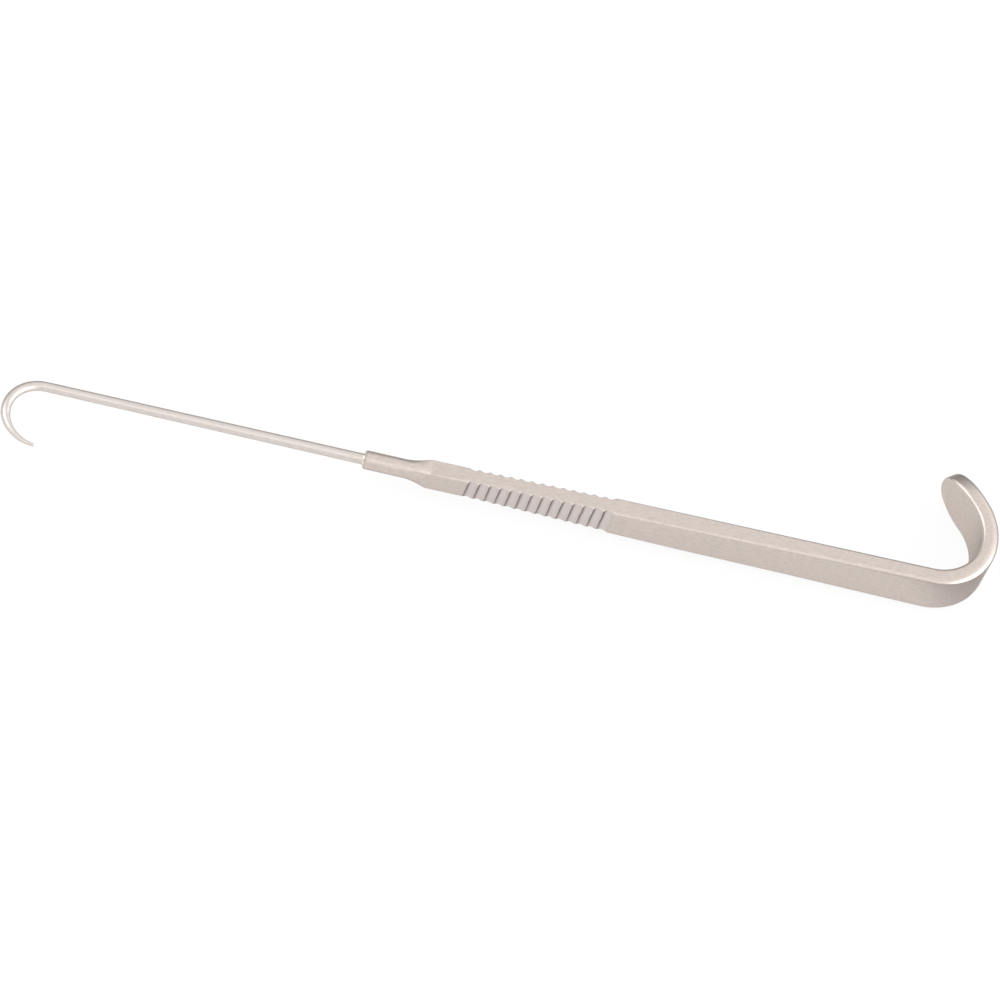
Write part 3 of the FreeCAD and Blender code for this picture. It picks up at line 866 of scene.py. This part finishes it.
def shade_beyond(tree, place, direction, near, far, lowest):
    """A factor that falls from 1 to the lowest value between two distances in metres along a direction."""
    distance = add_node(tree, "ShaderNodeVectorMath", {"operation": "DOT_PRODUCT"}, _0=place, _1=direction)
    return add_node(
        tree,
        "ShaderNodeMapRange",
        {"interpolation_type": "SMOOTHSTEP"},
        _0=distance.outputs["Value"],
        _1=near,
        _2=far,
        _3=1.0,
        _4=lowest,
    ).outputs["Result"]


def floor_material():
    """Matt paper, an almost even white for the camera, and white with two shaded sides in the steel."""
    material, tree, output = new_material("matt_white_paper")
    path_kind = add_node(tree, "ShaderNodeLightPath").outputs
    seen = math_node(tree, "MAXIMUM", path_kind["Is Camera Ray"], path_kind["Is Transmission Ray"])
    paper = add_node(tree, "ShaderNodeBsdfDiffuse", Color=srgb("#F4F4F4"))
    place = add_node(tree, "ShaderNodeTexCoord").outputs["Object"]
    right = shade_beyond(tree, place, *SHADE_RIGHT)
    behind = shade_beyond(tree, place, *SHADE_BEHIND)
    shaded = math_node(tree, "MULTIPLY", right, behind)
    strength = add_node(tree, "ShaderNodeMix", {"data_type": "FLOAT"}, _0=seen, _2=shaded, _3=1.0).outputs[0]
    glow = add_node(tree, "ShaderNodeEmission", Color=(1.0, 1.0, 1.0, 1.0), Strength=strength)
    for_camera = math_node(tree, "MULTIPLY", seen, WHITE_FOR_CAMERA)
    for_steel = math_node(tree, "MULTIPLY", path_kind["Is Glossy Ray"], WHITE_FOR_STEEL)
    share = math_node(tree, "MAXIMUM", for_camera, for_steel)
    mixed = add_node(tree, "ShaderNodeMixShader", _0=share, _1=paper.outputs[0], _2=glow.outputs[0])
    tree.links.new(mixed.outputs[0], output.inputs["Surface"])
    return material


FLOOR_SIZE = 6.0
floor_mesh = bpy.data.meshes.new("floor")
corner = FLOOR_SIZE / 2
corners = [(-corner, -corner, 0), (corner, -corner, 0), (corner, corner, 0), (-corner, corner, 0)]
floor_mesh.from_pydata(corners, [], [(0, 1, 2, 3)])
floor = new_piece("floor", floor_mesh)
floor.data.materials.append(floor_material())
print("floor", FLOOR_SIZE, "m across")

# %% [markdown]
# The light is a plain tent that is bright in front and darkens towards the low back, which gives the steel
# its dark rims. Soft panels in it draw the bright lines along the rounded edges and the white crown of the
# bend, and one large lamp on the left adds a soft direction. A panel is a name, a direction, two angles
# and a strength. All of them were set by trial against the photograph's tones.

# %% World and lamp
def panel(tree, direction, centre, inner, outer):
    """How much a direction looks into a soft panel: 1 inside its inner angle, 0 past the outer one."""
    middle = Vector(centre).normalized()
    turn = add_node(tree, "ShaderNodeVectorMath", {"operation": "DOT_PRODUCT"}, _0=direction, _1=middle)
    return add_node(
        tree,
        "ShaderNodeMapRange",
        {"interpolation_type": "SMOOTHSTEP"},
        _0=turn.outputs["Value"],
        _1=math.cos(math.radians(outer)),
        _2=math.cos(math.radians(inner)),
    ).outputs["Result"]


TENT_LEAN = (0.0, -0.5, 0.866)
TENT_LOW = -0.5
TENT_HIGH = 0.4
TENT_DARK = 0.3
TENT_BRIGHT = 1.05
PANELS = [
    ("front", (-0.1, -0.5, 0.85), 5, 35, 0.28),
    ("right", (0.93, -0.22, 0.28), 10, 45, 1.9),
    ("right back", (0.8, 0.55, 0.2), 10, 55, 0.6),
    ("left", (-0.65, 0.3, 0.7), 5, 35, 0.7),
]


def make_world():
    """A pale tent, darker towards the low back, with the soft panels of the list above."""
    world = bpy.data.worlds.new("light_tent")
    world.use_nodes = True
    tree = world.node_tree
    tree.nodes.clear()
    output = tree.nodes.new("ShaderNodeOutputWorld")
    direction = add_node(tree, "ShaderNodeTexCoord").outputs["Generated"]
    height = add_node(
        tree, "ShaderNodeVectorMath", {"operation": "DOT_PRODUCT"}, _0=direction, _1=TENT_LEAN
    ).outputs["Value"]
    level = add_node(
        tree,
        "ShaderNodeMapRange",
        {"interpolation_type": "SMOOTHSTEP"},
        _0=height,
        _1=TENT_LOW,
        _2=TENT_HIGH,
        _3=TENT_DARK,
        _4=TENT_BRIGHT,
    ).outputs["Result"]
    for _, centre, inner, outer, strength in PANELS:
        share = panel(tree, direction, centre, inner, outer)
        level = math_node(tree, "ADD", level, math_node(tree, "MULTIPLY", share, strength))
    seen = add_node(tree, "ShaderNodeLightPath").outputs["Is Camera Ray"]
    lit = add_node(tree, "ShaderNodeMix", {"data_type": "FLOAT"}, _0=seen, _2=level, _3=1.0).outputs[0]
    background = add_node(tree, "ShaderNodeBackground", Color=srgb("#FFFFFF"), Strength=lit)
    tree.links.new(background.outputs[0], output.inputs["Surface"])
    bpy.context.scene.world = world


def soft_lamp(name, place, size, power, colour):
    """A square lamp that looks at the middle of the object."""
    light = bpy.data.lights.new(name, "AREA")
    light.size = size
    light.energy = power
    light.color = colour
    lamp = bpy.data.objects.new(name, light)
    bpy.context.scene.collection.objects.link(lamp)
    lamp.location = place
    lamp.rotation_euler = (Vector((0, 0, 0.004)) - Vector(place)).to_track_quat("-Z", "Y").to_euler()
    return lamp


make_world()
soft_lamp("key_lamp", (-0.65, 0.12, 0.5), 0.5, 0.8, (1.0, 1.0, 1.0))

# %% [markdown]
# The camera looks down on the object from the front, from about a metre away through a long lens, and is
# rolled so that the instrument runs down across the picture.

# %% Camera
AIM = Vector(MOUTH + (22.916, -1.903, 0.0)) * MM
DISTANCE = 1.0537
AZIMUTH = math.radians(13.865)
ELEVATION = math.radians(53.473)
ROLL = math.radians(24.044)
LENS = 234.0

forward = Vector(
    (
        math.cos(ELEVATION) * math.sin(AZIMUTH),
        math.cos(ELEVATION) * math.cos(AZIMUTH),
        -math.sin(ELEVATION),
    )
)
camera_data = bpy.data.cameras.new("camera")
camera_data.lens = LENS
camera_data.sensor_width = 36.0
camera_data.clip_end = 50.0
camera = bpy.data.objects.new("camera", camera_data)
bpy.context.scene.collection.objects.link(camera)
level = forward.to_track_quat("-Z", "Y").to_matrix().to_4x4()
camera.matrix_world = Matrix.Translation(AIM - forward * DISTANCE) @ level @ Matrix.Rotation(ROLL, 4, "Z")
bpy.context.scene.camera = camera
bpy.context.scene.view_settings.view_transform = "Standard"
print("camera at", camera.location.to_tuple(4))
